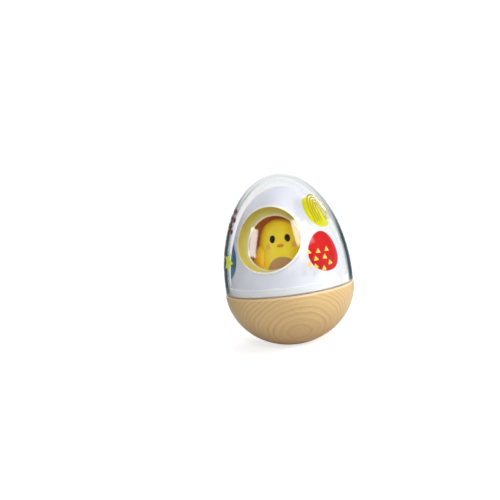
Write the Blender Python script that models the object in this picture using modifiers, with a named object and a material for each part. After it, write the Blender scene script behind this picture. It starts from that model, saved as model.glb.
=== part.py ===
# Roly-poly egg toy: a weighted wooden base, a white egg shell with a round
# window, a chick inside it and a clear dome over it all.
# Metres, +Z up, origin at the middle of the small flat that the toy stands on.
# The window faces -Y.

import math

import bmesh
import bpy
from mathutils import Matrix, Vector

# Clearances
GAP = 0.0003                # between pieces that touch or seat on each other
DOME_CLEARANCE = 0.0006     # dome's inside to the deck's wall, so that it turns
PEG_CLEARANCE = 0.0003      # chick's bore round its peg

# Wooden base
BASE_RADIUS = 0.0500
BASE_HEIGHT = 0.0440        # foot flat to rim
FOOT_RADIUS = 0.0100        # small flat under the base
RIM_ROUND = 0.0014          # rounded outer edge of the rim
FLOOR_WALL = 0.0090         # wood under the counterweight
PILOT_FLOOR = 0.0035        # wood under its screw's pilot hole

# Counterweight
WEIGHT_RADIUS = 0.0220
WEIGHT_THICKNESS = 0.0160
WEIGHT_CHAMFER = 0.0010
WEIGHT_SINK = 0.0040        # screw head's depth below the weight's top

# Clear dome, measured from the rim plane
DOME_HEIGHT = 0.0884
DOME_SETBACK = 0.0002       # dome's foot lies this far inside the wood
DOME_WALL = 0.0026
SEAT_RING_THICKNESS = 0.0008
SEAT_RING_MARGIN = 0.0006   # dome's foot overhangs the ring by this much each side

# Deck
DECK_THICKNESS = 0.0030
BAND_HEIGHT = 0.0065        # upstanding wall round the shell's foot
BAND_WALL = 0.0013

# Egg shell
CROWN_GAP = 0.0076          # shell's top to the dome's inside
SHELL_WALL = 0.0022

# Window and its funnel ring
WINDOW_HEIGHT = 0.0432      # window's middle above the rim plane
WINDOW_HOLE_RADIUS = 0.0258
RING_LIP = 0.0008           # lip's overlap on the shell, and its thickness
RING_WALL = 0.0012
RING_DEPTH = 0.0120         # along the window's axis
RING_BACK_RADIUS = 0.0209   # narrow inner end of the funnel

# Chick
CHICK_HEIGHT = 0.0527       # foot to crown
CHICK_BELLY_RADIUS = 0.0245
CHICK_BELLY_HEIGHT = 0.0150
CHICK_FOOT_RADIUS = 0.0190
CHICK_CROWN_REACH = 0.0210  # pull of the crown's curve outwards
CHICK_NECK_RADIUS = 0.0170
CHICK_NECK_HEIGHT = 0.0310
CHICK_HIP_PULL = 0.35       # how far the flare runs on below the belly
CHICK_YAW = math.radians(11)

# Chick's face and wings
EYE_HALF_WIDTH = 0.00215
EYE_HALF_HEIGHT = 0.00295
EYE_PROUD = 0.0009
EYE_HEIGHT = 0.0380
EYE_SPREAD = math.radians(18.5)
BEAK_HALF_WIDTH = 0.0027
BEAK_HALF_HEIGHT = 0.0012
BEAK_PROUD = 0.0020
BEAK_HEIGHT = 0.0331
WING_LENGTH = 0.0280
WING_WIDTH = 0.0190
WING_THICKNESS = 0.0070
WING_HEIGHT = 0.0200
WING_AZIMUTH = math.radians(57)
WING_LEAN = math.radians(8)
WING_TAPER = 0.22           # how much narrower the shoulder is than the tip

# Peg under the chick
PEG_RADIUS = 0.0050
PEG_HEIGHT = 0.0170
PEG_FLANGE_RADIUS = 0.0100
PEG_FLANGE_THICKNESS = 0.0014
PEG_ROUND = 0.0010
PEG_SCREW_COVER = 0.0060    # peg left above its screw

# Countersunk screws
SCREW_RADIUS = 0.0014
SCREW_HEAD_RADIUS = 0.0028
SCREW_HEAD_HEIGHT = 0.0016
DECK_SCREW_LENGTH = 0.0140
SCREW_TIP = 0.0020
DECK_SCREWS = 4

# Facets
TURN_STEPS = 48
SMALL_STEPS = 24
SCREW_STEPS = 12
DOME_POINTS = 12
BASE_POINTS = 12
CHICK_POINTS = 10
FOOT_POINTS = 5
ROUND_POINTS = 3
BLOB_RINGS = 10
SLOPE_SPAN = 0.05           # share of the chick's height that its slope is taken over
SMOOTH_LIMIT = math.radians(35)
MERGE = 0.00001

# Worked out from the sizes above
RIM = BASE_HEIGHT
POCKET_RADIUS = WEIGHT_RADIUS + GAP
SEAT_RING_BOTTOM = RIM + GAP
DOME_FOOT = SEAT_RING_BOTTOM + SEAT_RING_THICKNESS + GAP
DOME_RADIUS = BASE_RADIUS - DOME_SETBACK
DOME_INNER_RADIUS = DOME_RADIUS - DOME_WALL
BAND_RADIUS = DOME_INNER_RADIUS - DOME_CLEARANCE
BAND_INNER_RADIUS = BAND_RADIUS - BAND_WALL
SHELL_RADIUS = BAND_INNER_RADIUS - GAP
SHELL_HEIGHT = DOME_HEIGHT - DOME_WALL - CROWN_GAP
SHELL_FOOT = RIM + GAP
DECK_BOTTOM = RIM - DECK_THICKNESS
REBATE_RADIUS = BAND_RADIUS + GAP
REBATE_FLOOR = DECK_BOTTOM - GAP
WEIGHT_BOTTOM = FLOOR_WALL + GAP
WEIGHT_TOP = WEIGHT_BOTTOM + WEIGHT_THICKNESS
SCREW_HOLE_RADIUS = SCREW_RADIUS + GAP
DECK_SCREW_CIRCLE = (POCKET_RADIUS + BAND_INNER_RADIUS) / 2
PEG_BOTTOM = RIM + GAP
CHICK_FOOT = PEG_BOTTOM + PEG_FLANGE_THICKNESS + GAP
RING_LIP_RADIUS = WINDOW_HOLE_RADIUS + RING_LIP
RING_NECK_RADIUS = WINDOW_HOLE_RADIUS - GAP
RING_FRONT_RADIUS = RING_NECK_RADIUS - RING_WALL / 2


def clear_scene():
    for old in list(bpy.data.objects):
        bpy.data.objects.remove(old, do_unlink=True)


def new_collection(name):
    made = bpy.data.collections.new(name)
    bpy.context.scene.collection.children.link(made)
    return made


def new_material(name, colour, roughness, metallic=0.0, alpha=1.0):
    made = bpy.data.materials.new(name)
    made.use_nodes = True
    shader = made.node_tree.nodes["Principled BSDF"]
    shader.inputs["Base Color"].default_value = (*colour, 1.0)
    shader.inputs["Roughness"].default_value = roughness
    shader.inputs["Metallic"].default_value = metallic
    shader.inputs["Alpha"].default_value = alpha
    made.diffuse_color = (*colour, alpha)
    return made


def add_piece(name, mesh, material, parent):
    piece = bpy.data.objects.new(name, mesh)
    mesh.materials.append(material)
    toy.objects.link(piece)
    piece.parent = parent
    return piece


def add_cutter(name, mesh, parent=None):
    cutter = bpy.data.objects.new(name, mesh)
    cutters.objects.link(cutter)
    cutter.parent = parent
    cutter.hide_render = True
    cutter.display_type = "WIRE"
    return cutter


def add_joint(name, place, parent=None):
    joint = bpy.data.objects.new(name, None)
    toy.objects.link(joint)
    joint.parent = parent
    joint.location = place
    return joint


def profile_mesh(name, points, closed):
    mesh = bpy.data.meshes.new(name)
    edges = [(i, i + 1) for i in range(len(points) - 1)]
    if closed:
        edges.append((len(points) - 1, 0))
    mesh.from_pydata([(r, 0.0, z) for r, z in points], edges, [])
    return mesh


def turn(piece, steps):
    screw = piece.modifiers.new("turn", "SCREW")
    screw.steps = steps
    screw.render_steps = steps
    screw.use_merge_vertices = True
    screw.merge_threshold = MERGE
    screw.use_smooth_shade = True
    return piece


def turned_piece(name, points, closed, material, parent, steps=TURN_STEPS):
    return turn(add_piece(name, profile_mesh(name, points, closed), material, parent), steps)


def turned_cutter(name, points, closed, parent=None, steps=TURN_STEPS):
    return turn(add_cutter(name, profile_mesh(name, points, closed), parent), steps)


def rod_mesh(name, radius, length, steps):
    """A closed rod along Z, centred on its middle."""
    mesh = bpy.data.meshes.new(name)
    shape = bmesh.new()
    bmesh.ops.create_cone(shape, cap_ends=True, segments=steps, radius1=radius, radius2=radius, depth=length)
    shape.to_mesh(mesh)
    shape.free()
    return mesh


def cut(piece, cutter):
    made = piece.modifiers.new(cutter.name, "BOOLEAN")
    made.operation = "DIFFERENCE"
    made.solver = "EXACT"
    made.object = cutter
    return piece


def crown_arc(radius, height, foot, count):
    """Points of a half ellipse standing on the rim plane, from its crown down to z = foot."""
    last = math.asin((foot - RIM) / height)
    angles = [math.pi / 2 + (last - math.pi / 2) * i / count for i in range(1, count + 1)]
    side = [(radius * math.cos(a), RIM + height * math.sin(a)) for a in angles]
    return [(0.0, RIM + height)] + side


def shell_profile(radius, height, wall, foot, count):
    """A half egg with an even wall, open at its foot."""
    outer = crown_arc(radius, height, foot, count)
    inner = crown_arc(radius - wall, height - wall, foot, count)
    return outer + inner[::-1]


def blob(name, half_sizes, steps):
    """A round lump: a sphere stretched to its three half sizes."""
    mesh = bpy.data.meshes.new(name)
    shape = bmesh.new()
    bmesh.ops.create_uvsphere(shape, u_segments=steps, v_segments=BLOB_RINGS, radius=1.0)
    bmesh.ops.scale(shape, vec=half_sizes, verts=shape.verts)
    shape.to_mesh(mesh)
    shape.free()
    mesh.shade_smooth()
    return mesh


def build_base(parent):
    wood = new_material("beech", (0.72, 0.50, 0.28), 0.45)
    semi_depth = BASE_HEIGHT / math.sqrt(1 - (FOOT_RADIUS / BASE_RADIUS) ** 2)
    points = [(0.0, PILOT_FLOOR), (SCREW_HOLE_RADIUS, PILOT_FLOOR)]
    points += [(SCREW_HOLE_RADIUS, FLOOR_WALL), (POCKET_RADIUS, FLOOR_WALL)]
    points += [(POCKET_RADIUS, REBATE_FLOOR), (REBATE_RADIUS, REBATE_FLOOR)]
    points += [(REBATE_RADIUS, RIM)]
    for i in range(ROUND_POINTS + 1):
        angle = math.pi / 2 * (1 - i / ROUND_POINTS)
        across = BASE_RADIUS - RIM_ROUND + RIM_ROUND * math.cos(angle)
        points.append((across, RIM - RIM_ROUND + RIM_ROUND * math.sin(angle)))
    first = math.asin(RIM_ROUND / semi_depth)
    last = math.asin(BASE_HEIGHT / semi_depth)
    for i in range(1, BASE_POINTS + 1):
        angle = first + (last - first) * i / BASE_POINTS
        points.append((BASE_RADIUS * math.cos(angle), RIM - semi_depth * math.sin(angle)))
    points[-1] = (FOOT_RADIUS, 0.0)
    points.append((0.0, 0.0))
    base = turned_piece("wooden_base", points, False, wood, parent)
    pilot_depth = REBATE_FLOOR - (RIM - DECK_SCREW_LENGTH) + GAP
    for i, place in enumerate(deck_screw_places()):
        mesh = rod_mesh("pilot_hole", SCREW_HOLE_RADIUS, 2 * pilot_depth, SCREW_STEPS)
        hole = add_cutter(f"pilot_hole_{i + 1}", mesh)
        hole.location = (place.x, place.y, REBATE_FLOOR)
        cut(base, hole)


def deck_screw_places():
    angles = [2 * math.pi * (i + 0.5) / DECK_SCREWS for i in range(DECK_SCREWS)]
    return [Vector((math.cos(a), math.sin(a), 0.0)) * DECK_SCREW_CIRCLE for a in angles]


def screw_profile(length, oversize=0.0):
    """A countersunk screw hanging from z = 0, head up. A hole for it is oversize."""
    head = SCREW_HEAD_RADIUS + oversize
    shank = SCREW_RADIUS + oversize
    points = [(0.0, 0.0), (head, 0.0), (shank, -SCREW_HEAD_HEIGHT)]
    return points + [(shank, SCREW_TIP - length), (0.0, -length)]


def build_screw(name, length, place, material, parent, upside_down=False):
    screw = turned_piece(name, screw_profile(length), False, material, parent, SCREW_STEPS)
    screw.location = place
    if upside_down:
        screw.rotation_euler = (math.pi, 0.0, 0.0)
    return screw


def build_counterweight(parent):
    steel = new_material("steel", (0.55, 0.56, 0.58), 0.35, metallic=1.0)
    head = SCREW_HEAD_RADIUS + GAP
    seat = WEIGHT_TOP - WEIGHT_SINK
    points = [(head, WEIGHT_TOP), (WEIGHT_RADIUS - WEIGHT_CHAMFER, WEIGHT_TOP)]
    points += [(WEIGHT_RADIUS, WEIGHT_TOP - WEIGHT_CHAMFER), (WEIGHT_RADIUS, WEIGHT_BOTTOM + WEIGHT_CHAMFER)]
    points += [(WEIGHT_RADIUS - WEIGHT_CHAMFER, WEIGHT_BOTTOM), (SCREW_HOLE_RADIUS, WEIGHT_BOTTOM)]
    points += [(SCREW_HOLE_RADIUS, seat - SCREW_HEAD_HEIGHT), (head, seat)]
    turned_piece("counterweight", points, True, steel, parent)
    build_screw("counterweight_screw", seat - PILOT_FLOOR - GAP, (0.0, 0.0, seat), steel, parent)
    return steel


def build_deck(steel, parent):
    white = new_material("white_deck", (0.86, 0.87, 0.88), 0.4)
    head = SCREW_HEAD_RADIUS + GAP
    points = [(SCREW_HOLE_RADIUS, RIM), (BAND_INNER_RADIUS, RIM), (BAND_INNER_RADIUS, RIM + BAND_HEIGHT)]
    points += [(BAND_RADIUS, RIM + BAND_HEIGHT), (BAND_RADIUS, DECK_BOTTOM), (head, DECK_BOTTOM)]
    points += [(SCREW_HOLE_RADIUS, DECK_BOTTOM + SCREW_HEAD_HEIGHT)]
    deck = turned_piece("deck", points, True, white, parent)
    for i, place in enumerate(deck_screw_places()):
        seat = place + Vector((0.0, 0.0, RIM))
        hole = turned_cutter(f"deck_hole_{i + 1}", screw_hole_profile(), False, steps=SCREW_STEPS)
        hole.location = seat
        cut(deck, hole)
        build_screw(f"deck_screw_{i + 1}", DECK_SCREW_LENGTH, seat, steel, parent)


def screw_hole_profile():
    """A countersunk hole's cutter: the screw, oversize, and open past both faces."""
    points = screw_profile(DECK_SCREW_LENGTH, GAP)
    head = points[1][0]
    return [(0.0, DECK_THICKNESS), (head, DECK_THICKNESS)] + points[1:]


def build_peg(steel, parent):
    pale = new_material("peg", (0.80, 0.66, 0.45), 0.5)
    top = PEG_BOTTOM + PEG_HEIGHT
    flange = PEG_BOTTOM + PEG_FLANGE_THICKNESS
    screw_top = top - PEG_SCREW_COVER
    points = [(0.0, top), (PEG_RADIUS - PEG_ROUND, top), (PEG_RADIUS, top - PEG_ROUND)]
    points += [(PEG_RADIUS, flange), (PEG_FLANGE_RADIUS, flange), (PEG_FLANGE_RADIUS, PEG_BOTTOM)]
    points += [(SCREW_HOLE_RADIUS, PEG_BOTTOM), (SCREW_HOLE_RADIUS, screw_top), (0.0, screw_top)]
    turned_piece("chick_peg", points, False, pale, parent, SMALL_STEPS)
    length = screw_top - GAP - DECK_BOTTOM
    build_screw("peg_screw", length, (0.0, 0.0, DECK_BOTTOM), steel, parent, upside_down=True)


def bezier(ends, count):
    """Points along a cubic Bezier curve in the (r, z) plane, both ends included."""
    points = []
    for i in range(count + 1):
        t = i / count
        weights = [(1 - t) ** 3, 3 * t * (1 - t) ** 2, 3 * t ** 2 * (1 - t), t ** 3]
        points.append(tuple(sum(w * p[k] for w, p in zip(weights, ends)) for k in (0, 1)))
    return points


def chick_outline(offset=0.0):
    """The chick's side from its crown to its foot, standing on z = 0, grown outwards by offset."""
    crown = CHICK_HEIGHT + offset
    belly = CHICK_BELLY_RADIUS + offset
    foot = CHICK_FOOT_RADIUS + offset
    neck = CHICK_NECK_RADIUS + offset
    upper = [(0.0, crown), (CHICK_CROWN_REACH + offset, crown)]
    upper += [(neck, CHICK_NECK_HEIGHT), (belly, CHICK_BELLY_HEIGHT)]
    pull = CHICK_HIP_PULL * CHICK_BELLY_HEIGHT / (CHICK_NECK_HEIGHT - CHICK_BELLY_HEIGHT)
    hip = belly + pull * (belly - neck)
    lower = [(belly, CHICK_BELLY_HEIGHT), (hip, CHICK_BELLY_HEIGHT * (1 - CHICK_HIP_PULL))]
    lower += [(belly, 0.0), (foot, 0.0)]
    return bezier(upper, CHICK_POINTS) + bezier(lower, FOOT_POINTS)[1:]


def chick_radius_at(height):
    outline = chick_outline()
    for (r1, z1), (r2, z2) in zip(outline, outline[1:]):
        if z2 <= height <= z1:
            return r1 + (r2 - r1) * (z1 - height) / (z1 - z2)
    return CHICK_BELLY_RADIUS


def face_frame(azimuth, height):
    """A place on the chick's side: X to its left, Y inwards, Z up along the slope, and -Y out of it."""
    step = SLOPE_SPAN * CHICK_HEIGHT
    slope = math.atan2(chick_radius_at(height - step) - chick_radius_at(height + step), 2 * step)
    turned = Matrix.Rotation(azimuth, 4, "Z")
    pushed = Matrix.Translation((0.0, -chick_radius_at(height) - GAP, height))
    return turned @ pushed @ Matrix.Rotation(-slope, 4, "X")


def build_chick(parent):
    yellow = new_material("chick_yellow", (0.72, 0.46, 0.03), 0.6)
    orange = new_material("chick_orange", (0.80, 0.34, 0.03), 0.6)
    black = new_material("eye_black", (0.01, 0.01, 0.01), 0.25)
    bore = PEG_RADIUS + PEG_CLEARANCE
    bore_top = PEG_HEIGHT - PEG_FLANGE_THICKNESS
    points = chick_outline() + [(bore, 0.0), (bore, bore_top), (0.0, bore_top)]
    turned_piece("chick_body", points, False, yellow, parent)
    keep_out = turned_cutter("chick_keep_out", chick_outline(GAP) + [(0.0, 0.0)], False, parent)
    for name, side in (("left", 1), ("right", -1)):
        eye = blob("chick_eye_" + name, (EYE_HALF_WIDTH, EYE_PROUD, EYE_HALF_HEIGHT), SCREW_STEPS)
        eye.transform(face_frame(side * EYE_SPREAD, EYE_HEIGHT))
        cut(add_piece("chick_eye_" + name, eye, black, parent), keep_out)
        wing = blob("chick_wing_" + name, (WING_WIDTH / 2, WING_THICKNESS / 2, WING_LENGTH / 2), SMALL_STEPS)
        for point in wing.vertices:
            rise = 0.5 + point.co.z / WING_LENGTH
            point.co.x *= 1 - WING_TAPER * rise
        lean = Matrix.Rotation(side * WING_LEAN, 4, "Y")
        wing.transform(face_frame(side * WING_AZIMUTH, WING_HEIGHT) @ lean)
        cut(add_piece("chick_wing_" + name, wing, orange, parent), keep_out)
    beak = blob("chick_beak", (BEAK_HALF_WIDTH, BEAK_PROUD, BEAK_HALF_HEIGHT), SCREW_STEPS)
    beak.transform(face_frame(0.0, BEAK_HEIGHT))
    cut(add_piece("chick_beak", beak, orange, parent), keep_out)


def window_frame():
    """The window's frame: X across, Y up along the shell, Z straight out of its middle."""
    radius = SHELL_RADIUS * math.sqrt(1 - (WINDOW_HEIGHT / SHELL_HEIGHT) ** 2)
    rise = math.atan2(WINDOW_HEIGHT / SHELL_HEIGHT ** 2, radius / SHELL_RADIUS ** 2)
    middle = Matrix.Translation((0.0, -radius, RIM + WINDOW_HEIGHT))
    return middle @ Matrix.Rotation(math.pi / 2 - rise, 4, "X")


def on_shell(frame, radius, angle, lift):
    """A point off the window's axis by radius, on the shell's outer face moved out by lift."""
    out = frame.to_3x3() @ Vector((0.0, 0.0, 1.0))
    start = frame @ Vector((radius * math.cos(angle), radius * math.sin(angle), 0.0))
    size = (SHELL_RADIUS, SHELL_RADIUS, SHELL_HEIGHT)
    centre = (0.0, 0.0, RIM)
    p = Vector([(start[k] - centre[k]) / size[k] for k in range(3)])
    d = Vector([out[k] / size[k] for k in range(3)])
    half_b = p.dot(d)
    root = math.sqrt(half_b ** 2 - d.dot(d) * (p.dot(p) - 1.0))
    return start + out * ((root - half_b) / d.dot(d) + lift)


def build_window_ring(parent):
    """A funnel whose section follows the shell's curve all the way round the window."""
    lime = new_material("lime_ring", (0.48, 0.43, 0.08), 0.45)
    face = GAP + RING_LIP
    inside = -SHELL_WALL
    section = [(RING_LIP_RADIUS, GAP), (RING_LIP_RADIUS, face), (RING_FRONT_RADIUS, face)]
    section += [(RING_BACK_RADIUS, -RING_DEPTH), (RING_BACK_RADIUS + RING_WALL, -RING_DEPTH)]
    section += [(RING_NECK_RADIUS, inside), (RING_NECK_RADIUS, GAP)]
    frame = window_frame()
    shape = bmesh.new()
    loops = []
    for i in range(TURN_STEPS):
        angle = 2 * math.pi * i / TURN_STEPS
        loops.append([shape.verts.new(on_shell(frame, r, angle, lift)) for r, lift in section])
    for i, loop in enumerate(loops):
        ahead = loops[(i + 1) % TURN_STEPS]
        for j in range(len(section)):
            k = (j + 1) % len(section)
            shape.faces.new((loop[j], ahead[j], ahead[k], loop[k]))
    bmesh.ops.recalc_face_normals(shape, faces=shape.faces)
    mesh = bpy.data.meshes.new("window_ring")
    shape.to_mesh(mesh)
    shape.free()
    mesh.shade_smooth()
    mesh.set_sharp_from_angle(angle=SMOOTH_LIMIT)
    add_piece("window_ring", mesh, lime, parent)


def build_shell(parent):
    white = new_material("white_shell", (0.86, 0.87, 0.90), 0.3)
    points = shell_profile(SHELL_RADIUS, SHELL_HEIGHT, SHELL_WALL, SHELL_FOOT, DOME_POINTS)
    shell = turned_piece("egg_shell", points, False, white, parent)
    frame = window_frame()
    reach = -frame.translation.y
    mesh = rod_mesh("window_hole", WINDOW_HOLE_RADIUS, 2 * reach, TURN_STEPS)
    hole = add_cutter("window_hole", mesh, parent)
    hole.matrix_world = frame
    cut(shell, hole)
    build_window_ring(parent)


def build_seat_ring(parent):
    dark = new_material("seat_ring", (0.16, 0.13, 0.10), 0.6)
    top = SEAT_RING_BOTTOM + SEAT_RING_THICKNESS
    outer = DOME_RADIUS - SEAT_RING_MARGIN
    inner = DOME_INNER_RADIUS + SEAT_RING_MARGIN
    points = [(inner, top), (outer, top), (outer, SEAT_RING_BOTTOM), (inner, SEAT_RING_BOTTOM)]
    turned_piece("dome_seat_ring", points, True, dark, parent)


def build_dome(parent):
    clear = new_material("clear_dome", (0.90, 0.94, 0.95), 0.05, alpha=0.25)
    points = shell_profile(DOME_RADIUS, DOME_HEIGHT, DOME_WALL, DOME_FOOT, DOME_POINTS)
    turned_piece("clear_dome", points, False, clear, parent)


clear_scene()
toy = new_collection("roly_poly_egg")
cutters = new_collection("cutters")
base_body = add_joint("base", (0.0, 0.0, 0.0))
chick_turn = add_joint("chick_turn", (0.0, 0.0, CHICK_FOOT), base_body)
chick_turn.rotation_euler = (0.0, 0.0, CHICK_YAW)
shell_lift = add_joint("shell_lift", (0.0, 0.0, 0.0), base_body)
dome_turn = add_joint("dome_turn", (0.0, 0.0, 0.0), shell_lift)
dome_lift = add_joint("dome_lift", (0.0, 0.0, 0.0), dome_turn)

build_base(base_body)
screw_steel = build_counterweight(base_body)
build_deck(screw_steel, base_body)
build_peg(screw_steel, base_body)
build_chick(chick_turn)
build_shell(shell_lift)
build_seat_ring(dome_turn)
build_dome(dome_lift)
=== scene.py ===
import math

import bmesh
import bpy
from mathutils import Matrix, Vector


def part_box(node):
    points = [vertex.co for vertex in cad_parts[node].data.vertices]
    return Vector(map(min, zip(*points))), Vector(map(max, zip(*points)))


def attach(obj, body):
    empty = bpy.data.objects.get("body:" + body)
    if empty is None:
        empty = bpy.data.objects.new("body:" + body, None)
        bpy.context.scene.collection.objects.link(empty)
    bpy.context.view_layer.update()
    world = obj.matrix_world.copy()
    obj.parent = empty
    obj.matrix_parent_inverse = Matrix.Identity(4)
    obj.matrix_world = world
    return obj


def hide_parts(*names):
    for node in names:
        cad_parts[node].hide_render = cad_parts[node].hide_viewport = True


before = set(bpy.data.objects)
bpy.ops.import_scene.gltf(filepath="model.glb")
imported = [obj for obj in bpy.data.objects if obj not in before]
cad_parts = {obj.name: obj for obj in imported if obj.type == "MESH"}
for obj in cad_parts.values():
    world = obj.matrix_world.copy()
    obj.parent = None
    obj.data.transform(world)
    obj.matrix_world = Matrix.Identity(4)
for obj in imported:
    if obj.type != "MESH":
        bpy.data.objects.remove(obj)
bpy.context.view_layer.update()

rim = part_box("wooden_base")[1].z  # plane where wood and dome meet
mergeGap = 0.000002
sharpLimit = math.radians(32)
upward = Vector((0.0, 0.0, 1.0))


# small helpers for node trees and meshes

def node(kind, inputs, tree=None, **settings):  # outputs of a new node in the tree of what feeds it
    if tree is None:
        tree = next(value.id_data for value in inputs.values() if isinstance(value, bpy.types.NodeSocket))
    made = tree.nodes.new(kind)
    for key, value in settings.items():
        setattr(made, key, value)
    for key, value in inputs.items():
        if isinstance(value, bpy.types.NodeSocket):
            tree.links.new(value, made.inputs[key])
        else:
            made.inputs[key].default_value = value
    return made.outputs


def feed(made, name, value):
    value.id_data.links.new(value, made.inputs[name])


def maths(operation, a, b=0.0, c=0.0):
    return node("ShaderNodeMath", {0: a, 1: b, 2: c}, operation=operation)[0]


def vectorMaths(operation, a, b=(0.0, 0.0, 0.0), scale=1.0):
    made = node("ShaderNodeVectorMath", {0: a, 1: b, 3: scale}, operation=operation)
    return made["Value" if operation in ("DOT_PRODUCT", "LENGTH", "DISTANCE") else "Vector"]


def combine(x=0.0, y=0.0, z=0.0):
    return node("ShaderNodeCombineXYZ", {"X": x, "Y": y, "Z": z})[0]


def parts(vector):
    return node("ShaderNodeSeparateXYZ", {0: vector})


def spread(value, low, high, fromLow=0.3, fromHigh=0.7):
    return node("ShaderNodeMapRange", {"Value": value, "From Min": fromLow, "From Max": fromHigh,
                                       "To Min": low, "To Max": high})["Result"]


def towards(azimuth, elevation):  # degrees, from the window towards +X, and up
    a, e = math.radians(azimuth), math.radians(elevation)
    return Vector((math.sin(a) * math.cos(e), -math.cos(a) * math.cos(e), math.sin(e)))


def newTree(name, inputs):
    tree = bpy.data.node_groups.new(name, "GeometryNodeTree")
    tree.is_modifier = True
    for label, kind in [("Geometry", "Geometry")] + inputs:
        tree.interface.new_socket(label, in_out="INPUT", socket_type="NodeSocket" + kind)
    tree.interface.new_socket("Geometry", in_out="OUTPUT", socket_type="NodeSocketGeometry")
    return tree, node("NodeGroupInput", {}, tree)


def endTree(tree, geometry, finish):  # real geometry in its finish
    whole = node("GeometryNodeRealizeInstances", {"Geometry": geometry})["Geometry"]
    painted = node("GeometryNodeSetMaterial", {"Geometry": whole, "Material": finish})["Geometry"]
    node("NodeGroupOutput", {"Geometry": painted})
    return tree


def meshFrom(name, shape, outward=False):
    if outward:
        bmesh.ops.recalc_face_normals(shape, faces=shape.faces)
    mesh = bpy.data.meshes.new(name)
    shape.to_mesh(mesh)
    shape.free()
    return mesh


def linkPiece(name, mesh):
    piece = bpy.data.objects.new(name, mesh)
    bpy.context.scene.collection.objects.link(piece)
    return piece


def settle(piece):  # live modifiers become a plain, smooth mesh
    depsgraph = bpy.context.evaluated_depsgraph_get()
    mesh = bpy.data.meshes.new_from_object(piece.evaluated_get(depsgraph))
    piece.modifiers.clear()
    piece.data = mesh
    mesh.shade_smooth()
    mesh.set_sharp_from_angle(angle=sharpLimit)


def throughTree(name, mesh, tree, values):
    piece = linkPiece(name, mesh)
    modifier = piece.modifiers.new(tree.name, "NODES")
    modifier.node_group = tree
    for item in tree.interface.items_tree:
        if item.name in values:
            modifier[item.identifier] = values[item.name]
    settle(piece)
    return piece


def carve(piece, cutter):
    modifier = piece.modifiers.new("carve", "BOOLEAN")
    modifier.operation = "DIFFERENCE"
    modifier.solver = "EXACT"
    modifier.object = cutter
    settle(piece)
    bpy.data.objects.remove(cutter, do_unlink=True)


def finishPiece(piece, body, slot, *nodes):  # a print stands for no node
    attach(piece, body)
    if nodes:
        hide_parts(*nodes)


# the lathe: a profile in the XZ plane swept round the egg's axis

def latheTree():
    tree, given = newTree("lathe", [("Sweep radius", "Float"), ("Steps", "Int"), ("Finish", "Material")])
    circle = node("GeometryNodeCurvePrimitiveCircle", {"Resolution": given["Steps"],
                                                       "Radius": given["Sweep radius"]})["Curve"]
    profile = node("GeometryNodeMeshToCurve", {"Mesh": given["Geometry"]})["Curve"]
    swept = node("GeometryNodeCurveToMesh", {"Curve": circle, "Profile Curve": profile})["Mesh"]
    welded = node("GeometryNodeMergeByDistance", {"Geometry": swept, "Distance": mergeGap})["Geometry"]
    return endTree(tree, welded, given["Finish"])


lathe = latheTree()
sweepRadius = 0.02


def turned(name, points, finish, steps, closed=False):
    edges = [(i, i + 1) for i in range(len(points) - 1)]
    if closed:
        edges.append((len(points) - 1, 0))
    mesh = bpy.data.meshes.new(name)
    mesh.from_pydata([(r - sweepRadius, -z, 0.0) for r, z in points], edges, [])  # as the sweep lays it out
    piece = throughTree(name, mesh, lathe, {"Sweep radius": sweepRadius, "Steps": steps, "Finish": finish})
    shape = bmesh.new()
    shape.from_mesh(piece.data)
    bmesh.ops.dissolve_degenerate(shape, dist=mergeGap, edges=shape.edges)
    bmesh.ops.recalc_face_normals(shape, faces=shape.faces)
    shape.to_mesh(piece.data)
    shape.free()
    return piece


def arc(centre, radius, start, stop, count):  # points of a round corner, degrees
    points = []
    for i in range(count + 1):
        angle = math.radians(start + (stop - start) * i / count)
        points.append((centre[0] + radius * math.cos(angle), centre[1] + radius * math.sin(angle)))
    return points


def eggArc(egg, inset, foot):  # from the crown down to z = foot
    radius, height = egg["radius"] - inset, egg["height"] - inset
    last = math.asin((foot - egg["middle"]) / height)
    points = [(0.0, egg["middle"] + height)]
    for i in range(1, egg["rows"] + 1):
        angle = math.pi / 2 + (last - math.pi / 2) * i / egg["rows"]
        points.append((radius * math.cos(angle), egg["middle"] + height * math.sin(angle)))
    return points


def eggWall(egg, foot):  # down the outer side and up the inner one
    return eggArc(egg, 0.0, foot) + eggArc(egg, egg["wall"], foot)[::-1]


def eggRadius(reach, foot, egg):  # widest radius of the egg whose foot has this reach
    return reach / math.sqrt(1 - ((foot - egg["middle"]) / egg["height"]) ** 2)


# wrapping: flat sketches laid on an egg, along the line out of one spot on it

eggInputs = [("Egg radius", "Float"), ("Egg height", "Float"), ("Middle", "Float"), ("Origin", "Vector"),
             ("Across", "Vector"), ("Up", "Vector"), ("Out", "Vector"), ("Finish", "Material")]


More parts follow.
